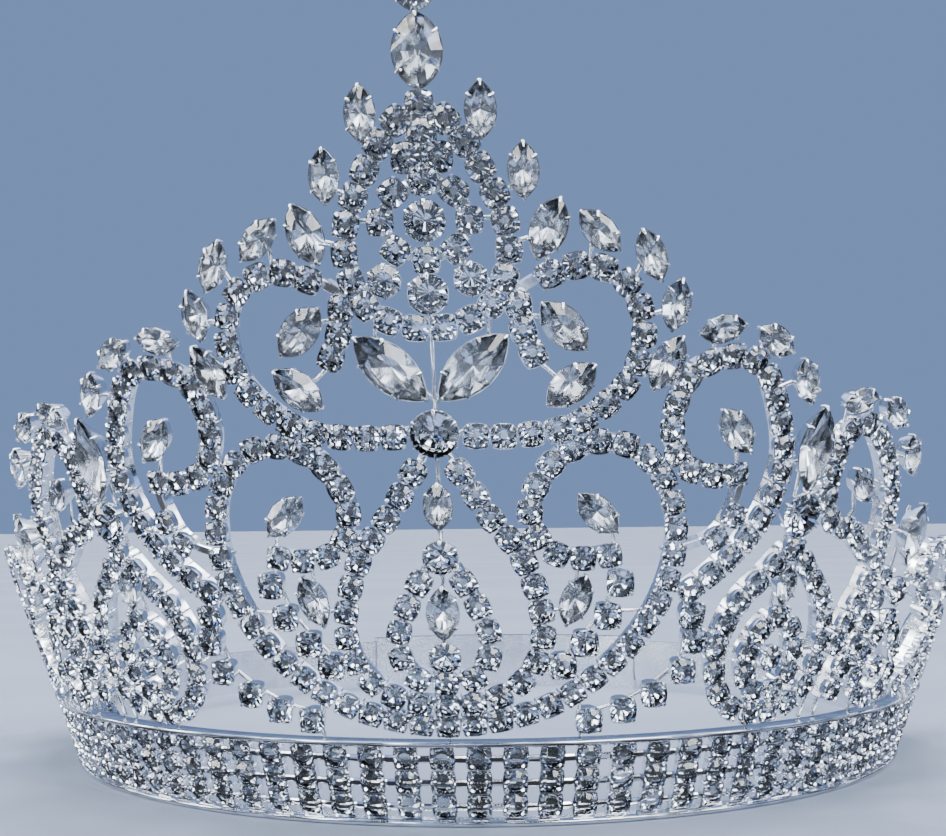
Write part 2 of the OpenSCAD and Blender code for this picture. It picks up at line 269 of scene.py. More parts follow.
MOTIFS = (
    Motif("pear", 0, side=Side.RIGHT, strands=(
        Strand(((0, 120), (5, 116.4), (8.9, 110.4), (12, 103.5), (12.5, 97), (10, 90.5), (5, 87.3), (0, 86.6)),
               Form.LOOP),
        Strand([(6.8 * math.sin(math.tau * k / 8), 103 + 5.9 * math.cos(math.tau * k / 8)) for k in range(8)],
               Form.CLOSED, count=8)),
        wires=(((0, 137), (0, 109)), ((0, 103), (0, 68))), rows=(((0, 115.8),),)),
    Motif("pear sides", 0, rows=(((2.3, 112.4),),), wires=(
        ((0, 115.8), (2.3, 112.4)), ((2.3, 112.4), (2.4, 108.2)), ((5.5, 103), (12.4, 103)),
        ((4, 98.6), (6.7, 94.8), (11, 92.5)), ((8.8, 117), (6, 113.8)), ((15, 108), (10.5, 106.6)),
        ((18, 100.5), (12.5, 99)), ((9, 83.2), (9.5, 90)), ((3, 77.4), (0, 74.5)))),
    Motif("upper scroll", 0, strands=(
        Strand(((13, 91.5), (18.5, 94.6), (25, 96.2), (31, 93.4), (33.6, 87), (32, 79.5), (27, 74),
                (21, 70.6), (14, 69.3), (8, 69.2), (4.4, 69.4)), sink=OVER_ONE),
        Strand(((13.6, 92), (14.5, 86), (16.8, 80.5)), sink=OVER_TWO)), wires=(
        ((16.5, 81), (19.5, 78.4), (22, 77.4)), ((20, 87.2), (14.4, 88.2)), ((18.4, 99.6), (19, 94.8)),
        ((26, 100.4), (25.6, 96)), ((34.2, 96.4), (31.6, 92.2)), ((38.6, 89), (33.4, 87.6)),
        ((37, 79.4), (32, 79.6)), ((20.5, 70.6), (20.5, 66.2)))),
    Motif("teardrop", 0, side=Side.RIGHT, strands=(
        Strand(((0, 22.4), (5.5, 22.9), (11.5, 25.6), (15.6, 31), (16.4, 38.5), (13.4, 48.6), (7.8, 56.5),
                (4.6, 62), (2.4, 65.2)), Form.BOTH_WAYS),
        Strand(((0, 26.6), (5.4, 27.8), (7.7, 33.5), (5.8, 40.4), (2.5, 46.5)), Form.BOTH_WAYS)),
        wires=(((0, 68), (0, FOOT_V)),)),
    Motif("teardrop sides", 0, wires=(((2.6, 46.3), (0, 48)), ((2.6, 64.9), (0, 67), (4.6, 69.4)))),
    Motif("bowl", 0, side=Side.RIGHT, strands=(
        Strand(((0, 18.7), (8.6, 19.6), (17.4, 22.2), (25, 27), (31.6, 33.3), (36.6, 41), (39.2, 50), (38.4, 59),
                (33.6, 66), (27.4, 68.2), (20.6, 66.4), (16.2, 61.4), (14.8, 55.6), (17.4, 50.2), (23, 48.4),
                (30, 49.2)), Form.BOTH_WAYS, sink=OVER_ONE),)),
    Motif("bowl sides", 0, wires=(
        ((14, 50), (17, 50.6)), ((28.4, 53.6), (29.6, 49.4)), ((22.6, 43), (23.4, 48.6)),
        ((20.4, 38.4), (15.8, 38)), ((29.8, 49), (29.6, 44), (27.4, 38.2), (23.4, 33.4), (19.6, 29.4)),
        ((19.6, 29.4), (14.8, 29.6)),
        ((28, 38), (34.8, 38))),
        rows=(((29.6, 44), (27.4, 38.2), (23.4, 33.4), (19.6, 29.4)),)),
    Motif("rail chain", 0, rows=(((43, 33.2), (41, 27.6), (35.6, 23.6), (30, 20.9), (24, 19.3)),), wires=(
        ((43, 33.2), (41, 27.6), (35.6, 23.6), (30, 20.9), (24, 19.3)), ((24, 19.3), (23, FOOT_V)),
        ((24, 19.3), (20.6, 24)))),
    Motif("rail chain top", 24, rows=(((-2.3, 37.8),),)),
    Motif("middle scroll", 24, strands=(
        Strand(((4, 62.8), (-2.6, 62.4), (-8.6, 64.8), (-11.2, 72), (-8.8, 79.4), (-2, 82.4), (4, 80.4),
                (8.4, 73), (10.7, 65), (8.8, 56), (3.4, 48), (-4.9, 41.2))),
        Strand(((4, 62.4), (3.4, 57.2), (0.6, 51.6), (-6.6, 49)), sink=OVER_TWO)), wires=(
        ((-4.7, 41.2), (-2, 38.4), (-1.1, 33.2)), ((2.4, 67.4), (3.6, 62.8)), ((-4.8, 86), (-4.4, 82)),
        ((5, 84.6), (3.6, 80.6)), ((12.4, 78), (7.2, 76)), ((-9.4, 65), (-12.4, 62)), ((-5, 49), (-8.8, 49)),
        ((-4.4, 41.4), (-9, 41.6)), ((10.6, 64), (18.5, 64)))),
    Motif("medallion", 32.5, strands=(
        Strand(((0, 49.2), (4.8, 44.6), (9.7, 39.2), (12, 31.5), (10.4, 24), (5.8, 19.6), (0, 18.6)), Form.LOOP),
        Strand(((0, 36.8), (3.9, 33.6), (5.4, 28.6), (3.8, 23.8), (0, 22.4)), Form.LOOP)),
        wires=(((0, 66), (0, FOOT_V)), ((0, 57.5), (5.2, 58.5)))),
    Motif("outer scroll", 39, strands=(
        Strand(((0.4, 53), (-4.4, 53.4), (-7.6, 58), (-7.8, 65.6), (-5.8, 70.4), (-1, 71.4), (4.6, 66.6),
                (9, 60), (10.4, 51.6), (10, 43.4), (6.6, 35.4), (3.6, 28.4)), sink=OVER_ONE),
        Strand(((0.6, 52.8), (4.6, 49), (9.6, 45.6)), sink=OVER_TWO),
        Strand(((15.2, 45.4), (13.8, 38), (10.8, 30.6), (8, 24.4), (6.4, 19)), sink=OVER_TWO)), wires=(
        ((1.4, 59.6), (3, 55), (1, 53)), ((-5.6, 75), (-5.4, 71)), ((4.2, 73), (2.2, 69)), ((12, 65.8), (7.2, 63)),
        ((10.4, 51), (21.5, 51)), ((3.4, 29), (-1.4, 29)), ((3.8, 29), (2.4, FOOT_V)),
        ((14, 39), (8.6, 39.6)), ((7, 21), (6.6, FOOT_V)))),
    Motif("small medallion", 50, wires=(((0, 56), (0, FOOT_V)),), strands=(
        Strand(((0, 34.4), (4.4, 30), (6.8, 24.8), (4.6, 20), (0, 18.4)), Form.LOOP),)),
    Motif("open scroll", 60, wires=(
        ((-3.4, 38.4), (-0.5, 35)), ((-9, 41), (-18, 41)), ((-5, 19), (-5, FOOT_V)), ((-5, 19.4), (-14, 22))),
        strands=(
        Strand(((-3, 38.6), (-6.6, 38.4), (-9.4, 42.4), (-6, 47.4), (0, 48.4), (7, 45), (10.6, 38.2),
                (8.6, 29.4), (2, 23), (-6, 18.6))),)),
    Motif("side cluster", 69, wires=(((0, 32), (0, FOOT_V)), ((-7, 31), (0, 31)), ((0, 31), (9, 18.4))), strands=(
        Strand([(4.3 * math.sin(math.tau * k / 6), 22.6 + 4.3 * math.cos(math.tau * k / 6)) for k in range(6)],
               Form.CLOSED),)),
    Motif("end scroll", 83, wires=(
        ((0, 20), (11.4, 20)), ((11.4, 22), (11.4, FOOT_V)), ((-15, 19.2), (-15, FOOT_V))),
        strands=(Strand(((-15.5, 18.6), (-9, 23.6), (-2, 29.4), (5, 30.6), (11.4, 26), (11.6, 19.6))),)),
)

CENTRE_STONES = (
    Stone("finial_round", 0, 0, 136, 0, 5.6, 5.6),
    Stone("finial_navette", 0, 0, 127.6, 90, 11, 7.6),
    Stone("crest_round", 0, 0, 103, 0, 6.4, 6.4),
    Stone("bridge_round", 0, 0, 91.9, 0, 6.3, 6.3),
    Stone("centre_round", 0, 0, 69.7, 0, 7.8, 7.8),
    Stone("upright_navette", 0, 0, 57.6, 90, 8, 4.8),
    Stone("drop_round", 0, 0, 48.9, 0, 5.8, 5.8),
    Stone("drop_navette", 0, 0, 39.1, 90, 9.6, 5.6),
    Stone("drop_base_round", 0, 0, 31.2, 0, 5.4, 5.4),
)

PAIR_STONES = (
    Stone("crown_navette_1", 0, 9, 119.1, 90, 8.4, 4.8),
    Stone("crown_navette_2", 0, 15.1, 110.3, 90, 8.4, 4.8),
    Stone("crown_navette_3", 0, 18.7, 101.7, 68, 10, 5.8),
    Stone("crown_navette_4", 0, 26.6, 101.4, -44, 8.4, 4.8),
    Stone("crown_navette_5", 0, 34.8, 97.9, -68, 8.4, 4.8),
    Stone("crown_navette_6", 0, 38.9, 90.3, 78, 8.4, 4.8),
    Stone("crown_navette_7", 0, 37.5, 81, 60, 10, 5.4),
    Stone("wing_navette", 0, 6.5, 80.3, 43, 15, 7.4),
    Stone("scroll_navette", 0, 20.8, 86.7, -47, 10, 6),
    Stone("scroll_end_navette", 0, 21.8, 77.4, 40, 10, 5.8),
    Stone("bowl_end_navette", 0, 25.9, 56.2, -46, 9, 5.4),
    Stone("bowl_navette", 0, 22, 41.2, 68, 9.4, 5.2),
    Stone("tier_navette", 24, 0.6, 70, -48, 9.4, 5.4),
    Stone("medallion_navette", 32.5, 0, 67.1, 90, 15, 7.4),
)

SIDE_STONES = (
    Stone("pear_side", 0, 6.7, 94.1, 0, 5.2, 5.2),
    Stone("middle_leaf_1", 24, -4.8, 86.7, 12, 8, 4.6),
    Stone("middle_leaf_2", 24, 5.3, 85.2, -28, 8, 4.6),
    Stone("middle_leaf_3", 24, 12.9, 78.7, -68, 8, 4.6),
    Stone("medallion_round", 32.5, 0, 55.2, 0, 7.8, 7.8),
    Stone("medallion_drop", 32.5, 0, 42.6, 90, 7.4, 4.4),
    Stone("medallion_base", 32.5, 0, 29, 0, 4.8, 4.8),
    Stone("outer_tier", 39, 0.4, 60.8, -47, 8, 4.6),
    Stone("outer_leaf_1", 39, -5.6, 75.7, 12, 8, 4.6),
    Stone("outer_leaf_2", 39, 4.5, 74, -32, 8, 4.6),
    Stone("outer_leaf_3", 39, 12.5, 66.5, -66, 8, 4.6),
    Stone("small_medallion_top", 50, 0, 51.2, 90, 12, 6.4),
    Stone("small_medallion_round", 50, 0, 40, 0, 5.6, 5.6),
    Stone("small_medallion_base", 50, 0, 24.8, 0, 4.6, 4.6),
    Stone("open_scroll_round", 60, -0.5, 35, 0, 4.8, 4.8),
    Stone("side_round", 69, 0, 31.9, 0, 5.6, 5.6),
    Stone("side_ring_round", 69, 0, 22.6, 0, 4, 4),
    Stone("end_round", 83, 0, 21.6, 0, 4.6, 4.6),
)


# Mesh building


def link_object(name: str, data: bpy.types.ID) -> bpy.types.Object:
    """Puts a new object with the given data into the scene.

    Args:
        name: the object's name.
        data: its mesh, lamp or camera.

    Returns:
        The new object.
    """
    new = bpy.data.objects.new(name, data)
    bpy.context.collection.objects.link(new)
    return new


class PatternMesh:
    """Gathers faces of the flat pattern, wrapped on the cone, for one piece."""

    def __init__(self) -> None:
        """Starts with no faces."""
        self.points: list[np.ndarray] = []
        self.faces: Faces = []
        self.kinds: list[int] = []
        self.count = 0

    def add(self, azimuth: float, points: np.ndarray, faces: Faces, side: Side = Side.RIGHT,
            kinds: Sequence[int] | None = None) -> None:
        """Adds a closed form, once for each side.

        Args:
            azimuth: the motif's angle from the front centre, in degrees.
            points: rows of x, v and t.
            faces: corner numbers, anticlockwise seen from outside.
            side: which sides get the form.
            kinds: the material number of each face, or None for the first.
        """
        world = CONE.wrap(azimuth, points)
        for sign in side.value:
            self.join(world * [sign, 1, 1], [f[::sign] for f in faces], kinds)

    def join(self, world: np.ndarray, faces: Faces, kinds: Sequence[int] | None = None) -> None:
        """Takes in a closed form whose points lie on the cone already.

        Args:
            world: rows of X, Y and Z in millimetres.
            faces: corner numbers.
            kinds: the material number of each face, or None for the first.
        """
        self.points.append(world)
        self.faces += [tuple(c + self.count for c in f) for f in faces]
        self.kinds += kinds or [0] * len(faces)
        self.count += len(world)

    def build(self, name: str, finishes: Sequence[Material], smooth_deg: float | None = None
              ) -> bpy.types.Object:
        """Makes the object.

        Args:
            name: the piece's name.
            finishes: its materials, in the order of the faces' kinds.
            smooth_deg: edges flatter than this shade smooth; None leaves every face flat.

        Returns:
            The new object, in the scene.
        """
        mesh = bpy.data.meshes.new(name)
        mesh.from_pydata((np.vstack(self.points) * MM).tolist(), [], self.faces)
        for finish in finishes:
            mesh.materials.append(finish)
        mesh.polygons.foreach_set("material_index", self.kinds)
        work = bmesh.new()
        work.from_mesh(mesh)
        bmesh.ops.recalc_face_normals(work, faces=work.faces)
        work.to_mesh(mesh)
        work.free()
        if smooth_deg is None:
            mesh.shade_flat()
        else:
            mesh.shade_smooth()
            mesh.set_sharp_from_angle(angle=math.radians(smooth_deg))
        return link_object(name, mesh)


def loft_faces(rings: int, corners: int, closed: bool) -> Faces:
    """Faces through rings of corners, with flat ends unless closed.

    Args:
        rings: how many rings.
        corners: how many corners each ring has.
        closed: whether the last ring joins the first.

    Returns:
        The faces, as corner numbers.
    """
    faces: Faces = []
    for i in range(rings if closed else rings - 1):
        j = (i + 1) % rings
        low, high = i * corners, j * corners
        faces += [(low + k, low + (k + 1) % corners, high + (k + 1) % corners, high + k) for k in range(corners)]
    if not closed:
        faces += [tuple(range(corners))[::-1], tuple((rings - 1) * corners + k for k in range(corners))]
    return faces


def stacked(rings: Iterable[tuple[np.ndarray, float]]) -> np.ndarray:
    """Rows of x, v and t from rings of points, each at its depth."""
    return np.vstack([np.column_stack([p, np.full(len(p), t)]) for p, t in rings])


def sweep(line: np.ndarray, section: Sequence[Point], closed: bool) -> np.ndarray:
    """A section carried along a line of the pattern.

    Args:
        line: rows of x and v.
        section: corners as (across the line, depth t).
        closed: whether the line comes back to its start.

    Returns:
        Rows of x, v and t, ring by ring.
    """
    if closed:
        before, after = np.roll(line, 1, 0), np.roll(line, -1, 0)
    else:
        before, after = np.vstack([line[:1], line[:-1]]), np.vstack([line[1:], line[-1:]])
    way = after - before
    way /= np.linalg.norm(way, axis=1)[:, None]
    across = np.column_stack([way[:, 1], -way[:, 0]])
    rings = [np.column_stack([line + across * w, np.full(len(line), t)]) for w, t in section]
    return np.stack(rings, axis=1).reshape(-1, 3)


def turned(points: np.ndarray, angle: float, x: float, v: float) -> np.ndarray:
    """Points of a small form turned by an angle in radians and moved to x, v.

    Args:
        points: rows of x, v and t.
        angle: the turn.
        x: where its origin goes along the motif.
        v: where its origin goes up the slope.

    Returns:
        A moved copy.
    """
    c, s = math.cos(angle), math.sin(angle)
    out = np.array(points, float)
    out[:, 0] = points[:, 0] * c - points[:, 1] * s + x
    out[:, 1] = points[:, 0] * s + points[:, 1] * c + v
    return out


def outline(length: float, width: float, degrees: Iterable[float]) -> np.ndarray:
    """Points of a stone's outline, a circle or two arcs that meet in points, at the given angles.

    Args:
        length: the stone's length along x.
        width: its width.
        degrees: the angles.

    Returns:
        Rows of x and v.
    """
    a, b = length / 2, width / 2
    arc_r = (a * a + b * b) / (2 * b)
    q = np.radians(np.array(list(degrees), float))
    x = a * np.cos(q)
    y = np.sqrt(np.maximum(arc_r * arc_r - x * x, 0)) - (arc_r - b)
    return np.column_stack([x, np.where(np.sin(q) < 0, -y, y)])


@dataclass(frozen=True)
class Cut:
    """How a stone is machine-cut: a table, one row of crown facets and a pointed pavilion."""

    girdle_t: float = 0.9
    girdle_h: float = 0.08
    crown_share: float = 0.16
    pavilion_share: float = 0.4
    pavilion_most: float = 3.0
    table_share: float = 0.56
    fold: int = 16

    def depth(self, width: float) -> float:
        """How far the pavilion reaches behind the girdle."""
        return min(self.pavilion_share * width, self.pavilion_most)

    def shape(self, length: float, width: float) -> tuple[np.ndarray, Faces, list[int]]:
        """One stone at the pattern's origin.

        Args:
            length: its length along x.
            width: its width along v.

        Returns:
            Its points, its faces and their kinds: 0 for the clear crown, 1 for the foiled back.
        """
        n = self.fold
        whole = outline(length, width, np.arange(n) * 360 / n)
        crown, pavilion = self.crown_share * width, self.depth(width)
        rings = [(whole * self.table_share, self.girdle_t - crown), (whole, self.girdle_t - self.girdle_h / 2),
                 (whole, self.girdle_t + self.girdle_h / 2), (np.zeros((1, 2)), self.girdle_t + pavilion)]
        points = stacked(rings)
        clear: Faces = [tuple(range(n))]
        foiled: Faces = []
        for j in range(n):
            k = (j + 1) % n
            clear += [(j, n + j, n + k, k), (n + j, 2 * n + j, 2 * n + k, n + k)]
            foiled.append((2 * n + j, 3 * n, 2 * n + k))
        return points, clear + foiled, [0] * len(clear) + [1] * len(foiled)


ROUND_CUT = Cut(crown_share=0.13, table_share=0.62, pavilion_share=0.42)
SMALL_CUT = Cut(crown_share=0.13, table_share=0.62, pavilion_share=0.42, fold=12)
POINTED_CUT = Cut(fold=12)


@dataclass
class HandSet:
    """The small tilt and turn that a stone gets when it is pressed into its cup."""

    tilt_deg: float = 4.0
    seed: int = 11
    chance: np.random.RandomState = field(init=False)

    def __post_init__(self) -> None:
        """Starts the row of random draws."""
        self.chance = np.random.RandomState(self.seed)

    def add(self, maker: PatternMesh, azimuth: float, stone_d: float, x: float, v: float, angle: float = 0.0,
            side: Side = Side.RIGHT, sink: float = 0.0) -> None:
        """Adds a small round stone, turned and tilted about its girdle.

        Args:
            maker: the mesh that gets it.
            azimuth: the motif's angle in degrees.
            stone_d: the stone's diameter.
            x: its place along the motif.
            v: its place up the slope.
            angle: the chain's direction in radians.
            side: which sides get it.
            sink: how far the chain is set back.
        """
        points, faces, kinds = SMALL_CUT.shape(stone_d, stone_d)
        tilt = math.tan(math.radians(self.tilt_deg))
        out = turned(points, self.chance.uniform(0, math.tau), 0, 0)
        lean_x, lean_v = self.chance.uniform(-tilt, tilt, 2)
        out[:, 2] += out[:, 0] * lean_x + out[:, 1] * lean_v
        out[:, 2] += sink
        maker.add(azimuth, turned(out, angle, x, v), faces, side, kinds)


@dataclass(frozen=True)
class SmallCup:
    """The pressed cup of a chain stone: a tapered wall, a floor and four claws folded over the stone."""

    stone_d: float = 4.25
    rim_r: float = 2.16
    wall: float = 0.12
    rim_t: float = 0.98
    waist_in: float = 0.1
    waist_drop: float = 0.45
    floor_t: float = 2.7
    floor_r: float = 1.5
    inner_share: float = 0.5
    corners: int = 16
    squareness: float = 4.0
    claw_w: float = 0.8
    claw_deep: float = 0.13
    claw_path: Sequence[tuple[float, float, float]] = (
        (0.12, 1.6, 1.0), (0.28, 0.95, 1.0), (0.14, 0.58, 0.95), (-0.42, 0.4, 0.5))
    claw_section: Sequence[Point] = ((-1, -1), (1, -1), (0.7, 1), (-0.7, 1))

    def body(self, floor_t: float) -> tuple[np.ndarray, Faces]:
        """The cup's wall and floor, square with round corners, down to the depth floor_t.

        Args:
            floor_t: how deep the foot reaches.

        Returns:
            Its points and faces, round the pattern's origin.
        """
        rings = [(self.floor_r, floor_t), (self.rim_r - self.waist_in, self.rim_t + self.waist_drop),
                 (self.rim_r, self.rim_t), (self.rim_r - self.wall, self.rim_t),
                 (self.floor_r * self.inner_share, self.floor_t - self.wall)]
        q = np.arange(self.corners) * math.tau / self.corners
        square = (abs(np.cos(q)) ** self.squareness + abs(np.sin(q)) ** self.squareness) ** (-1 / self.squareness)
        points = stacked((np.column_stack([r * square * np.cos(q), r * square * np.sin(q)]), t) for r, t in rings)
        return points, loft_faces(len(rings), self.corners, False)

    def claw(self) -> tuple[np.ndarray, Faces]:
        """One claw on the +x side, from the wall up and over the stone's edge."""
        r, w, deep = self.stone_d / 2, self.claw_w / 2, self.claw_deep
        points = np.array([(r + out + side * deep, y * w * share, t - side * deep)
                           for out, t, share in self.claw_path for y, side in self.claw_section])
        return points, loft_faces(len(self.claw_path), len(self.claw_section), False)

    def add(self, maker: PatternMesh, azimuth: float, x: float, v: float, angle: float, side: Side,
            floor_t: float | None = None, sink: float = 0.0) -> None:
        """Adds the cup and its claws.

        Args:
            maker: the mesh that gets them.
            azimuth: the motif's angle in degrees.
            x: the cup's place along the motif.
            v: the cup's place up the slope.
            angle: the chain's direction in radians; the claws stand at 45 degrees to it.
            side: which sides get it.
            floor_t: how deep the cup's foot reaches, or None for the chain's own.
            sink: how far the chain is set back.
        """
        points, faces = self.body(floor_t or self.floor_t)
        points[:, 2] += sink
        maker.add(azimuth, turned(points, angle, x, v), faces, side)
        points, faces = self.claw()
        points[:, 2] += sink
        for k in range(4):
            at = angle + math.tau * (k + 0.5) / 4
            maker.add(azimuth, turned(points, at, x, v), faces, side)


# Finishes


def linear(colour: str) -> tuple[float, float, float, float]:
    """The linear colour of an sRGB hex value such as "#d9dde2".

    Args:
        colour: the hex value.

    Returns:
        Red, green, blue and alpha.
    """
    channels = [int(colour[i:i + 2], 16) / 255 for i in (1, 3, 5)]
    r, g, b = (c / 12.92 if c <= 0.04045 else ((c + 0.055) / 1.055) ** 2.4 for c in channels)
    return r, g, b, 1.0


def node(tree: Tree, kind: str, **links: object) -> bpy.types.Node:
    """Adds a shader node.

    Args:
        tree: the node tree.
        kind: Blender's name for the node, without "ShaderNode".
        **links: for each input, named with _ for a space or as i1 or i2 by its number, a socket to link
            or a value to set.

    Returns:
        The new node.
    """
    new = tree.nodes.new("ShaderNode" + kind)
    for key, value in links.items():
        socket = new.inputs[int(key[1:]) if key[0] == "i" and key[1:].isdigit() else key.replace("_", " ")]
        if isinstance(value, Socket):
            tree.links.new(value, socket)
        else:
            socket.default_value = value
    return new


def ramp(new: bpy.types.Node, stops: Sequence[tuple[float, str]]) -> None:
    """Sets a colour ramp's stops to (place, sRGB hex) pairs.

    Args:
        new: the ramp's node.
        stops: the pairs.
    """
    elements = new.color_ramp.elements
    while len(elements) < len(stops):
        elements.new(1.0)
    for element, (place, colour) in zip(elements, stops):
        element.position = place
        element.color = linear(colour)


@dataclass(frozen=True)
class Finish:
    """What the finishes share: patches of a real size that move the colour between two tones."""

    name: str = "finish"
    low: str = "#000000"
    high: str = "#ffffff"
    low_at: float = 0.35
    high_at: float = 0.55
    patch_mm: float = 1.0
    detail: float = 3.0
    patch_rough: float = 0.5

    def build(self) -> Material:
        """Makes the material."""
        material = bpy.data.materials.new(self.name)
        material.use_nodes = True
        tree = material.node_tree
        tree.nodes.clear()
        place = node(tree, "TexCoord").outputs["Object"]
        patches = node(tree, "TexNoise", Vector=place, Scale=1 / (self.patch_mm * MM), Detail=self.detail,
                       Roughness=self.patch_rough).outputs["Fac"]
        tone = node(tree, "ValToRGB", Fac=patches)
        ramp(tone, ((self.low_at, self.low), (self.high_at, self.high)))
        sockets = self.sockets(tree, place, patches)
        surface = node(tree, "BsdfPrincipled", Base_Color=tone.outputs["Color"], **sockets)
        node(tree, "OutputMaterial", Surface=surface.outputs["BSDF"])
        return material

    def sockets(self, tree: Tree, place: Socket, patches: Socket) -> dict[str, object]:
        """The shader's other inputs.

        Args:
            tree: the material's node tree.
            place: the point on the object.
            patches: the noise that the colour follows.

        Returns:
            A value or a socket for each input's name.
        """
        raise NotImplementedError


@dataclass(frozen=True)
class SilverPlate(Finish):
    """Silver-plated brass, soldered from strip and tumble-polished.

    To the eye: a bright cool mirror, a little uneven, with greyer patches and fine rub marks.
    """

    low: str = "#b4bac4"
    high: str = "#e6e9ee"
    low_at: float = 0.3
    patch_mm: float = 2.5
    detail: float = 4.0
    patch_rough: float = 0.6
    rough_low: float = 0.1
    rough_high: float = 0.24
    dull_at: float = 0.3
    bright_at: float = 0.7
    scratch_mm: float = 0.35
    rub_mm: float = 0.02
    bump: float = 0.04

    def sockets(self, tree: Tree, place: Socket, patches: Socket) -> dict[str, object]:
        """Duller in the grey patches, with shallow rub marks.

        Args:
            tree: the material's node tree.
            place: the point on the object.
            patches: the noise that the colour follows.

        Returns:
            A value or a socket for each input's name.
        """
        rough = node(tree, "MapRange", Value=patches, From_Min=self.dull_at, From_Max=self.bright_at,
                     To_Min=self.rough_high, To_Max=self.rough_low)
        marks = node(tree, "TexNoise", Vector=place, Scale=1 / (self.scratch_mm * MM), Detail=3.0, Distortion=1.5)
        relief = node(tree, "Bump", Strength=self.bump, Distance=self.rub_mm * MM, Height=marks.outputs["Fac"])
        return {"Metallic": 1.0, "Roughness": rough.outputs["Result"], "Normal": relief.outputs["Normal"]}


@dataclass(frozen=True)
class CutCrystal(Finish):
    """Lead glass, cut and polished.

    To the eye: clear, with sharp facets that bend what lies behind them.
    """

    name: str = "cut_crystal"
    low: str = "#eef4fc"
    high: str = "#fbfdff"
    high_at: float = 0.65
    patch_mm: float = 1.5
    detail: float = 2.0
    ior: float = 1.57
    polish: float = 0.03

    def sockets(self, tree: Tree, place: Socket, patches: Socket) -> dict[str, object]:
        """Clear glass with a trace of wear in its polish."""
        rough = node(tree, "MapRange", Value=patches, To_Min=0.0, To_Max=self.polish)
        return {"IOR": self.ior, "Roughness": rough.outputs["Result"], "Transmission_Weight": 1.0}


@dataclass(frozen=True)
class MirrorFoil(Finish):
    """Silvered and lacquered back of a rhinestone.

    To the eye: a clean mirror behind the glass, which throws the light back out of the crown.
    """

    name: str = "mirror_foil"
    low: str = "#cfd8e6"
    high: str = "#f4f7fb"
    patch_mm: float = 0.8
    rough_low: float = 0.02
    rough_high: float = 0.08

    def sockets(self, tree: Tree, place: Socket, patches: Socket) -> dict[str, object]:
        """A mirror that is a little rougher where the lacquer is thick."""
        rough = node(tree, "MapRange", Value=patches, To_Min=self.rough_low, To_Max=self.rough_high)
        return {"Metallic": 1.0, "Roughness": rough.outputs["Result"]}


@dataclass(frozen=True)
class MattStudio(Finish):
    """Painted board or black cotton velvet, for the studio.

    To the eye: no gloss, and only a faint mottle.
    """

    rough: float = 0.75

    def sockets(self, tree: Tree, place: Socket, patches: Socket) -> dict[str, object]:
        """The same dull surface all over."""
        return {"Roughness": self.rough}


# twelve patches of paint to the metre, and sixty of pile
FLOOR_BOARD = MattStudio("studio_floor", low="#768297", high="#7d889d", low_at=0.4, high_at=0.6,
                         patch_mm=1000 / 12)
BLACK_CLOTH = MattStudio("black_cloth", low="#050507", high="#15161a", low_at=0.4, high_at=0.7,
                         patch_mm=1000 / 60, rough=0.95)


@dataclass
class Finishes:
    """The built materials."""

    scroll: Material = field(default_factory=SilverPlate("silver_plate_scrollwork").build)
    band: Material = field(
        default_factory=SilverPlate("silver_plate_band", rough_low=0.07, rough_high=0.16, patch_mm=4.0).build)
    back: Material = field(
        default_factory=SilverPlate("silver_plate_back", low="#c3c8d0", high="#dfe2e7", rough_low=0.16,
                                    rough_high=0.26, patch_mm=9.0, scratch_mm=0.6, bump=0.12).build)
    crystal: Material = field(default_factory=CutCrystal().build)
    foil: Material = field(default_factory=MirrorFoil().build)
    lacquer: Material = field(
        default_factory=MirrorFoil("lacquered_back", low="#dbe3ee", rough_low=0.08, rough_high=0.2).build)


def mount(piece: bpy.types.Object, slot: str, *replaced: str) -> None:
    """Ties a piece to the frame.

    Args:
        piece: the new object.
        slot: the record's material slot; not used.
        *replaced: the CAD nodes that it stands for.
    """
    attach(piece, "root")
    if replaced:
        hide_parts(*replaced)
    LOG.info("%s: %d faces", piece.name, len(piece.data.polygons))


# Sub-assemblies


@dataclass
class StoneField:
    """Keeps chain stones off each other and off the main stones."""

    least: float = 3.5
    margin: float = 1.35
    step: float = 0.1
    placed: list[np.ndarray] = field(default_factory=list)

    def free(self, azimuth: float, x: float, v: float) -> bool:
        """Whether a chain stone fits at a place of the pattern; if so, the place is taken.

        Args:
            azimuth: the motif's angle in degrees.
            x: the place along the motif.
            v: the place up the slope.

        Returns:
            True where the stone fits.
        """
        p = CONE.place(azimuth, x, v)
        if any(np.linalg.norm(p - q) < self.least for q in self.placed):
            return False
        for s in (*CENTRE_STONES, *PAIR_STONES, *SIDE_STONES):
            for sign in (1, -1):
                c = CONE.place(s.azimuth, s.x, s.v) * [sign, 1, 1]
                if np.linalg.norm(p - c) > s.length:
                    continue
                turn = sign * math.radians(s.angle)
                ahead = CONE.place(s.azimuth, s.x + self.step, s.v) * [sign, 1, 1] - c
                up = CONE.place(s.azimuth, s.x, s.v + self.step) - CONE.place(s.azimuth, s.x, s.v)
                up *= [sign, 1, 1]
                ahead *= sign / np.linalg.norm(ahead)
                up /= np.linalg.norm(up)
                u, w = float((p - c) @ ahead), float((p - c) @ up)
                along = u * math.cos(turn) + w * math.sin(turn)
                across = -u * math.sin(turn) + w * math.cos(turn)
                reach = (along / (s.length / 2 + self.margin)) ** 2 + (across / (s.width / 2 + self.margin)) ** 2
                if reach < 1:
                    return False
        self.placed.append(p)
        return True

    def take_pair(self, azimuth: float, x: float, v: float, side: Side) -> bool:
        """Takes a place on each side that is asked for, or none.

        Args:
            azimuth: the motif's angle in degrees.
            x: the place along the motif.
            v: the place up the slope.
            side: which sides get the stone.

        Returns:
            True where the place was free.
        """
        if not self.free(azimuth, x, v):
            return False
        if side is Side.BOTH:
            self.placed.append(self.placed[-1] * [-1, 1, 1])
        return True


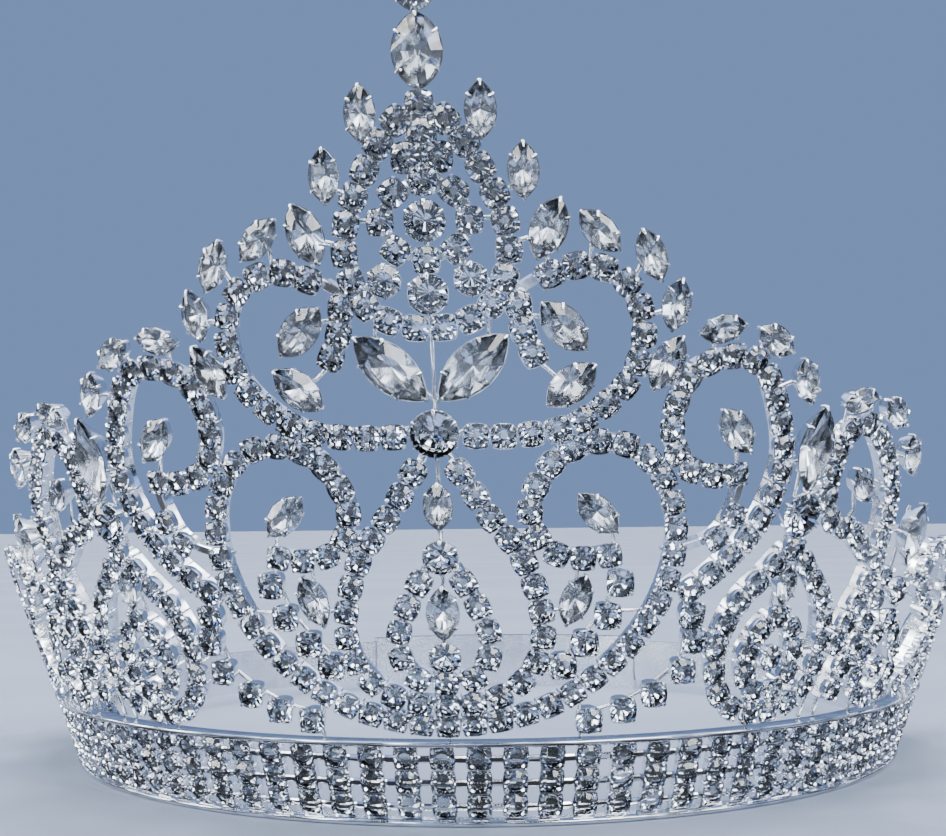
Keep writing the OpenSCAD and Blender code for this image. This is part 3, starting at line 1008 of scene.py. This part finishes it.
@dataclass
class Scrollwork:
    """Strips on edge, the cup chains along them, single cups, and the wires that join them."""

    finishes: Finishes
    strip_half: float = 0.75
    strip_front: float = 2.2
    strip_back: float = 4.4
    bevel: float = 0.14
    single_floor: float = 3.5
    pitch: float = 4.35
    joint_w: float = 0.16
    joint_deep: float = 0.25
    wire_r: float = 0.36
    wire_t: float = 3.8
    wire_corners: int = 8
    wire_step: float = 3.0
    cup: SmallCup = field(default_factory=SmallCup)
    single_cup: SmallCup = field(default_factory=lambda: SmallCup(stone_d=4.8, rim_r=2.42, floor_r=1.7))

    def strips(self) -> None:
        """The strips, which stand for the CAD's scrollwork."""
        maker = PatternMesh()
        w, b = self.strip_half, self.bevel
        for motif in MOTIFS:
            LOG.info("%s: %d strips, %d wires", motif.name, len(motif.strands), len(motif.wires))
            for strand in motif.strands:
                front, back = self.strip_front + strand.sink, self.strip_back + strand.sink
                section = ((-w, front + b), (-w + b, front), (w - b, front), (w, front + b),
                           (w, back - b), (w - b, back), (-w + b, back), (-w, back - b))
                line, narrow = strand.jointed(self.pitch, self.joint_w)
                points = sweep(line, section, strand.closed)
                middle = np.repeat(line, len(section), axis=0)
                inward = np.repeat(narrow * self.joint_deep / w, len(section))[:, None]
                points[:, :2] += (middle - points[:, :2]) * inward
                maker.add(motif.azimuth, points, loft_faces(len(line), len(section), strand.closed), motif.side)
        mount(maker.build("scroll_strips", [self.finishes.scroll], smooth_deg=40), "scroll_silver", "scrollwork")

    def wires(self) -> None:
        """Round wires that join the motifs behind the stones."""
        maker = PatternMesh()
        corners = np.arange(self.wire_corners) * math.tau / self.wire_corners
        section = [(self.wire_r * math.cos(q), self.wire_t + self.wire_r * math.sin(q)) for q in corners]
        for motif in MOTIFS:
            for wire in motif.wires:
                line = [np.array(wire[0], float)]
                for a, b in zip(wire[:-1], wire[1:]):
                    start, end = np.array(a, float), np.array(b, float)
                    n = max(math.ceil(np.linalg.norm(end - start) / self.wire_step), 1)
                    line += [start + (end - start) * k / n for k in range(1, n + 1)]
                points = sweep(np.array(line), section, False)
                maker.add(motif.azimuth, points, loft_faces(len(line), len(section), False), motif.side)
        mount(maker.build("link_wires", [self.finishes.scroll], smooth_deg=50), "scroll_silver")

    def chains(self, stones: StoneField) -> None:
        """Cups and stones of the chains and the single cups.

        Args:
            stones: what keeps the chain stones apart.
        """
        cups, gems, hand = PatternMesh(), PatternMesh(), HandSet()
        for motif in MOTIFS:
            for x, v in (place for row in motif.rows for place in row):
                if stones.take_pair(motif.azimuth, x, v, motif.side):
                    self.single_cup.add(cups, motif.azimuth, x, v, 0, motif.side, floor_t=self.single_floor)
                    hand.add(gems, motif.azimuth, self.single_cup.stone_d, x, v, side=motif.side)
        for motif in MOTIFS:
            for strand in motif.strands:
                for (x, v), angle in zip(*strand.stones(self.pitch)):
                    if stones.take_pair(motif.azimuth, x, v, motif.side):
                        self.cup.add(cups, motif.azimuth, x, v, angle, motif.side, sink=strand.sink)
                        hand.add(gems, motif.azimuth, self.cup.stone_d, x, v, angle, motif.side, strand.sink)
        mount(cups.build("chain_cups", [self.finishes.scroll], smooth_deg=35), "scroll_silver")
        mount(gems.build("chain_stones", [self.finishes.crystal, self.finishes.foil]), "crystal")

    def build(self) -> None:
        """Makes the four pieces."""
        self.strips()
        self.wires()
        self.chains(StoneField())


@dataclass
class MainStones:
    """The larger stones, each in a collet with claws."""

    finishes: Finishes
    rim_t: float = 1.02
    rim_out: float = 0.08
    wall: float = 0.2
    waist_share: float = 0.93
    waist_drop: float = 0.7
    inner_share: float = 0.3
    foot_t: float = 3.7
    foot_share: float = 0.62
    foot_gap: float = 0.3
    rim_corners: int = 24
    claw_r: float = 0.27
    claw_flat: float = 0.7
    claw_corners: int = 6
    claw_reach: float = 0.16
    claw_most: float = 0.75
    claw_tip_t: float = 0.78
    round_claws: int = 6
    pointed_claws: Sequence[float] = (0, 58, 122, 180, 238, 302)

    def collet(self, maker: PatternMesh, s: Stone, side: Side) -> None:
        """Adds the wall that holds a stone, and its claws.

        Args:
            maker: the mesh that gets them.
            s: the stone.
            side: which sides get them.
        """
        degrees = np.arange(self.rim_corners) * 360 / self.rim_corners
        rim = outline(s.length, s.width, degrees)
        deep = max(self.foot_t, s.cut.girdle_t + s.cut.depth(s.width) + self.foot_gap)
        grow = 1 + 2 * self.rim_out / s.width
        rings = [(rim * self.foot_share, deep), (rim * self.waist_share, self.rim_t + self.waist_drop),
                 (rim * grow, self.rim_t), (rim * (grow - 2 * self.wall / s.width), self.rim_t),
                 (rim * self.inner_share, deep - self.wall)]
        points = turned(stacked(rings), math.radians(s.angle), s.x, s.v)
        maker.add(s.azimuth, points, loft_faces(len(rings), len(degrees), False), side)
        even = (np.arange(self.round_claws) + 0.5) * 360 / self.round_claws
        for q in even if s.is_round else self.pointed_claws:
            self.claw(maker, s, float(q), side)

    def claw(self, maker: PatternMesh, s: Stone, degrees: float, side: Side) -> None:
        """Adds one round claw, bent over the stone's edge.

        Args:
            maker: the mesh that gets it.
            s: the stone.
            degrees: the claw's place on the outline.
            side: which sides get it.
        """
        edge, near = outline(s.length, s.width, (degrees, degrees + 1.0))
        tip = not s.is_round and degrees % 180 == 0
        out = edge / np.linalg.norm(edge)
        if not tip:
            way = (near - edge) / np.linalg.norm(near - edge)
            out = np.array([way[1], -way[0]])
        across = np.array([-out[1], out[0]])
        rise = 2 * s.cut.crown_share / (1 - s.cut.table_share)
        over = min(self.claw_reach * s.width, self.claw_most)
        tip_t = self.claw_tip_t - over * rise
        # from inside the collet's wall up past the girdle, and over the crown's edge to the tip
        spine = [(-0.15, self.rim_t + 1.0, 1.0), (0.06, self.rim_t + 0.2, 1.0), (0.06, 0.66, 1.0),
                 (-0.3 * over, 0.46, 0.95), (-over, tip_t, 0.6)]
        corners = [(math.cos(q), math.sin(q)) for q in np.arange(self.claw_corners) * math.tau / self.claw_corners]
        rings = []
        for o, t, share in spine:
            r = self.claw_r * share
            flat = r * self.claw_flat
            rings += [(*(edge + out * (o + flat * a) + across * r * b), t - flat / 2 * a) for a, b in corners]
        points = turned(np.array(rings), math.radians(s.angle), s.x, s.v)
        maker.add(s.azimuth, points, loft_faces(len(spine), len(corners), False), side)

    def gem(self, maker: PatternMesh, s: Stone, side: Side) -> None:
        """Adds the cut stone.

        Args:
            maker: the mesh that gets it.
            s: the stone.
            side: which sides get it.
        """
        points, faces, kinds = s.cut.shape(s.length, s.width)
        if not s.is_round:
            kinds = [2 * kind for kind in kinds]
        maker.add(s.azimuth, turned(points, math.radians(s.angle), s.x, s.v), faces, side, kinds)

    def build(self) -> None:
        """Makes the collets' piece and one piece for each CAD node of stones."""
        collets = PatternMesh()
        for s in CENTRE_STONES:
            self.collet(collets, s, Side.RIGHT)
        for s in (*PAIR_STONES, *SIDE_STONES):
            self.collet(collets, s, Side.BOTH)
        mount(collets.build("stone_collets", [self.finishes.scroll], smooth_deg=40), "scroll_silver")
        groups = [(s.name, (s,), Side.RIGHT) for s in CENTRE_STONES]
        for side in (Side.LEFT, Side.RIGHT):
            end = side.name.lower()
            groups += [(f"{s.name}_{end}", (s,), side) for s in PAIR_STONES]
            groups.append((f"side_stones_{end}", SIDE_STONES, side))
        for name, stones, side in groups:
            maker = PatternMesh()
            for s in stones:
                self.gem(maker, s, side)
            mount(maker.build(f"{name}_cut", [self.finishes.crystal, self.finishes.foil, self.finishes.lacquer]),
                  "crystal", name)


@dataclass
class HeadBand:
    """Two rails, three level bars, and columns of three stones between the rails."""

    finishes: Finishes
    half_arc: float = 93.0
    height: float = RAIL_TOP
    rail_h: float = 1.1
    rail_depth: float = 4.2
    columns: int = 51
    column_angle: float = 3.667
    column_shift: float = -0.74
    rows: Sequence[float] = (3.5, 8.1, 12.7)
    rail_nose: Sequence[Point] = (
        (0.02, 0.45), (0.154, 0.16), (0.396, 0.02), (0.704, 0.02), (0.946, 0.16), (1.078, 0.45), (1.1, 0.9))
    rail_bevel: float = 0.2
    upright_ends: Point = (-0.3, 14.4)
    upright_section: Sequence[Point] = ((-1.8, 1.7), (1.8, 1.7), (1.8, 2.9), (-1.8, 2.9))
    bar_h: float = 1.3
    bar_front: float = 1.6
    bar_back: float = 2.3
    bar_bevel: Point = (0.3, 0.2)
    plate_deg: float = 0.9
    plate_front: float = 0.5
    plate_back: float = 2.6
    ring_step: float = 1.5
    cup: SmallCup = field(default_factory=lambda: SmallCup(rim_r=2.2, floor_r=1.95, squareness=8.0, claw_w=1.0))

    def level(self, v: float, back: float) -> Point:
        """The pattern's v and t of a point that lies level behind the front's v, back mm to the rear."""
        return v - back * math.sin(CONE.lean), back * math.cos(CONE.lean)

    def hoop(self, maker: PatternMesh, section: Sequence[Point], start: float, end: float) -> None:
        """Adds a hoop of a constant section.

        Args:
            maker: the mesh that gets it.
            section: corners as (v, t), in order round the section.
            start: azimuth where it starts, in degrees.
            end: azimuth where it ends.
        """
        n = max(round((end - start) / self.ring_step), 1)
        ring = np.array([(0, v, t) for v, t in section])
        world = np.vstack([CONE.wrap(start + (end - start) * k / n, ring) for k in range(n + 1)])
        maker.join(world, loft_faces(n + 1, len(section), False))

    def rails(self) -> None:
        """The two rails, the end plates and the level bars, which stand for the CAD's band."""
        maker = PatternMesh()
        top, h, deep = self.height, self.rail_h, self.rail_depth
        rail = ((0, deep), *self.rail_nose, (h, deep - self.rail_bevel), (h - self.rail_bevel, deep))
        for low in (0.0, top - h):
            self.hoop(maker, [self.level(low + v, t) for v, t in rail], -self.half_arc, self.half_arc)
        up, inward = self.bar_bevel
        front, back = self.bar_front, self.bar_back
        for row in self.rows:
            low, high = row - self.bar_h / 2, row + self.bar_h / 2
            bar = ((low, back), (low, front + inward), (low + up, front), (high - up, front),
                   (high, front + inward), (high, back))
            self.hoop(maker, [self.level(v, t) for v, t in bar], -self.half_arc, self.half_arc)
        near, far = self.plate_front, self.plate_back
        plate = ((h, near), (top - h, near), (top - h, far), (h, far))
        for start in (-self.half_arc, self.half_arc - self.plate_deg):
            self.hoop(maker, plate, start, start + self.plate_deg)
        mount(maker.build("band_rails", [self.finishes.band], smooth_deg=38), "band_silver", "band_frame")

    def fillings(self) -> None:
        """The columns' uprights and cups, and their stones."""
        cups, gems, hand = PatternMesh(), PatternMesh(), HandSet()
        upright = [(x, v, t) for v in self.upright_ends for x, t in self.upright_section]
        for i in range(self.columns):
            azimuth = self.column_shift + self.column_angle * (i - (self.columns - 1) / 2)
            cups.add(azimuth, np.array(upright), loft_faces(2, 4, False))
            for v in self.rows:
                self.cup.add(cups, azimuth, 0, v, 0, Side.RIGHT)
                hand.add(gems, azimuth, self.cup.stone_d, 0, v)
        mount(cups.build("band_cups", [self.finishes.band], smooth_deg=35), "band_silver")
        mount(gems.build("band_stones", [self.finishes.crystal, self.finishes.foil]), "crystal")

    def build(self) -> None:
        """Makes the band's three pieces."""
        self.rails()
        self.fillings()


@dataclass
class BackBand:
    """The plain strips and the sleeve, whose CAD shapes stay."""

    finishes: Finishes
    nodes: Sequence[str] = ("back_band_left", "back_band_right", "size_sleeve")

    def build(self) -> None:
        """Gives the CAD nodes their finish."""
        for name in self.nodes:
            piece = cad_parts[name]
            piece.data.materials.clear()
            piece.data.materials.append(self.finishes.back)
            LOG.info("%s: dressed", name)


@dataclass(frozen=True)
class SoftBox:
    """One lamp: a square panel that looks at the tiara."""

    name: str
    azimuth: float
    elevation: float
    distance: float
    size: float
    watts: float
    colour: str = "#ffffff"

    def build(self, target: Vector) -> None:
        """Adds the lamp to the scene, aimed at the target.

        Args:
            target: the point that it looks at.
        """
        lamp = bpy.data.lights.new(self.name, "AREA")
        lamp.shape = "SQUARE"
        lamp.size = self.size
        lamp.energy = self.watts
        lamp.color = linear(self.colour)[:3]
        a, e = math.radians(self.azimuth), math.radians(self.elevation)
        way = Vector((math.sin(a) * math.cos(e), -math.cos(a) * math.cos(e), math.sin(e)))
        holder = link_object(self.name, lamp)
        holder.location = target + way * self.distance
        holder.rotation_euler = (-way).to_track_quat("-Z", "Y").to_euler()


@dataclass
class Studio:
    """Floor, sky, lamps and the camera at the photograph's place."""

    eye: Vector = field(default_factory=lambda: Vector((21.16, -323.26, 53.53)) * MM)
    yaw_deg: float = -4.178
    pitch_deg: float = 4.073
    roll_deg: float = -0.695
    lens: float = 50.49
    floor_half: float = 4.0
    flag_r: Sequence[float] = (
        0.0945, 0.098, 0.102, 0.107, 0.114, 0.123, 0.136, 0.155, 0.18, 0.22, 0.3, 0.5, 1.0, 3.0)
    flag_z: float = 0.0005
    flag_slim: float = 1.6
    flag_least: int = 14
    flag_share: float = 0.76
    flag_end: float = 0.1
    flag_seed: int = 5
    panel_scale: float = 7.0
    panel_light: float = 15.0
    panel_tones: Sequence[tuple[float, str]] = ((0.0, "#010204"), (0.6, "#33415c"), (0.74, "#ffffff"))
    rear_from: float = 0.3
    rear_to: float = 0.5
    rear_wall: str = "#9cbaf4"
    rear_light: float = 0.6
    backdrop: str = "#93b4f2"
    backdrop_light: float = 0.62
    target: Vector = field(default_factory=lambda: Vector((0, -0.05, 0.06)))
    lamps: Sequence[SoftBox] = (
        SoftBox("key", -38, 42, 1.1, 0.4, 3, "#fff8ee"),
        SoftBox("fill", 52, 30, 1.2, 0.4, 1.5, "#eef4ff"),
        SoftBox("back_left", -152, 46, 1.1, 0.6, 1.6, "#cfdcff"),
        SoftBox("back_right", 152, 46, 1.1, 0.6, 1.6, "#cfdcff"),
        SoftBox("spark_1", -15, 55, 1.0, 0.05, 0.8),
        SoftBox("spark_2", 22, 20, 1.0, 0.04, 0.8),
        SoftBox("spark_3", -60, 18, 1.0, 0.05, 0.8),
        SoftBox("spark_4", 75, 50, 1.0, 0.05, 0.8),
    )

    def floor(self) -> None:
        """A plain pale floor that the tiara rests on."""
        h = self.floor_half
        mesh = bpy.data.meshes.new("studio_floor")
        mesh.from_pydata([(-h, -h, 0), (h, -h, 0), (h, h, 0), (-h, h, 0)], [], [(0, 1, 2, 3)])
        mesh.materials.append(FLOOR_BOARD.build())
        link_object("studio_floor", mesh)

    def flag(self) -> None:
        """Black cards in front of the tiara, which only facets and polished metal mirror."""
        chance = np.random.RandomState(self.flag_seed)
        points: list[tuple[float, float, float]] = []
        for inner, outer in zip(self.flag_r[:-1], self.flag_r[1:]):
            n = max(round(math.pi * (inner + outer) / (self.flag_slim * (outer - inner))), self.flag_least)
            for k in range(n):
                rear = math.sin(math.tau * (k + 0.5) / n) > self.flag_end
                if chance.uniform() < self.flag_share and not rear:
                    points += [(r * math.cos(math.tau * q / n), r * math.sin(math.tau * q / n), self.flag_z)
                               for r, q in ((inner, k), (outer, k), (outer, k + 1), (inner, k + 1))]
        mesh = bpy.data.meshes.new("black_flag")
        mesh.from_pydata(points, [], [tuple(range(i, i + 4)) for i in range(0, len(points), 4)])
        mesh.materials.append(BLACK_CLOTH.build())
        flag = link_object("black_flag", mesh)
        flag.visible_camera = flag.visible_diffuse = flag.visible_shadow = False

    def sky(self) -> None:
        """A pale backdrop, and a room, pale at the rear and of light and dark panels at the front."""
        world = bpy.data.worlds.new("studio")
        bpy.context.scene.world = world
        world.use_nodes = True
        tree = world.node_tree
        tree.nodes.clear()
        way = node(tree, "TexCoord").outputs["Generated"]
        panels = node(tree, "TexVoronoi", Vector=way, Scale=self.panel_scale)
        share = node(tree, "SeparateColor", Color=panels.outputs["Color"]).outputs["Red"]
        tone = node(tree, "ValToRGB", Fac=share)
        tone.color_ramp.interpolation = "CONSTANT"
        ramp(tone, self.panel_tones)
        depth = node(tree, "SeparateXYZ", Vector=way).outputs["Y"]
        rear = node(tree, "MapRange", Value=depth, From_Min=self.rear_from, From_Max=self.rear_to)
        lit = node(tree, "Background", Color=tone.outputs["Color"], Strength=self.panel_light)
        pale = node(tree, "Background", Color=linear(self.rear_wall), Strength=self.rear_light)
        room = node(tree, "MixShader", Fac=rear.outputs["Result"], i1=lit.outputs["Background"],
                    i2=pale.outputs["Background"])
        paper = node(tree, "Background", Color=linear(self.backdrop), Strength=self.backdrop_light)
        seen = node(tree, "LightPath").outputs["Is Camera Ray"]
        both = node(tree, "MixShader", Fac=seen, i1=room.outputs["Shader"], i2=paper.outputs["Background"])
        node(tree, "OutputWorld", Surface=both.outputs["Shader"])

    def camera(self) -> None:
        """The camera, where the photograph was taken from."""
        yaw, pitch, roll = (math.radians(a) for a in (self.yaw_deg, self.pitch_deg, self.roll_deg))
        ahead = Vector((math.sin(yaw) * math.cos(pitch), math.cos(yaw) * math.cos(pitch), math.sin(pitch)))
        level = Vector((math.cos(yaw), -math.sin(yaw), 0))
        upright = level.cross(ahead)
        right = math.cos(roll) * level + math.sin(roll) * upright
        up = -math.sin(roll) * level + math.cos(roll) * upright
        data = bpy.data.cameras.new("camera")
        data.sensor_fit = "HORIZONTAL"
        data.sensor_width = 36
        data.lens = self.lens
        data.clip_start = 0.01
        holder = link_object("camera", data)
        holder.matrix_world = Matrix.Translation(self.eye) @ Matrix((right, up, -ahead)).transposed().to_4x4()
        bpy.context.scene.camera = holder

    def build(self) -> None:
        """Makes the studio."""
        self.floor()
        self.flag()
        self.sky()
        self.camera()
        for lamp in self.lamps:
            lamp.build(self.target)


def main() -> None:
    """Builds the tiara's looks and the studio."""
    logging.basicConfig(level=logging.INFO, format="%(name)s: %(message)s")
    Studio().build()
    finishes = Finishes()
    for assembly in (HeadBand(finishes), Scrollwork(finishes), MainStones(finishes), BackBand(finishes)):
        assembly.build()
        LOG.info("%s is built", type(assembly).__name__)


if __name__ == "__main__":
    main()
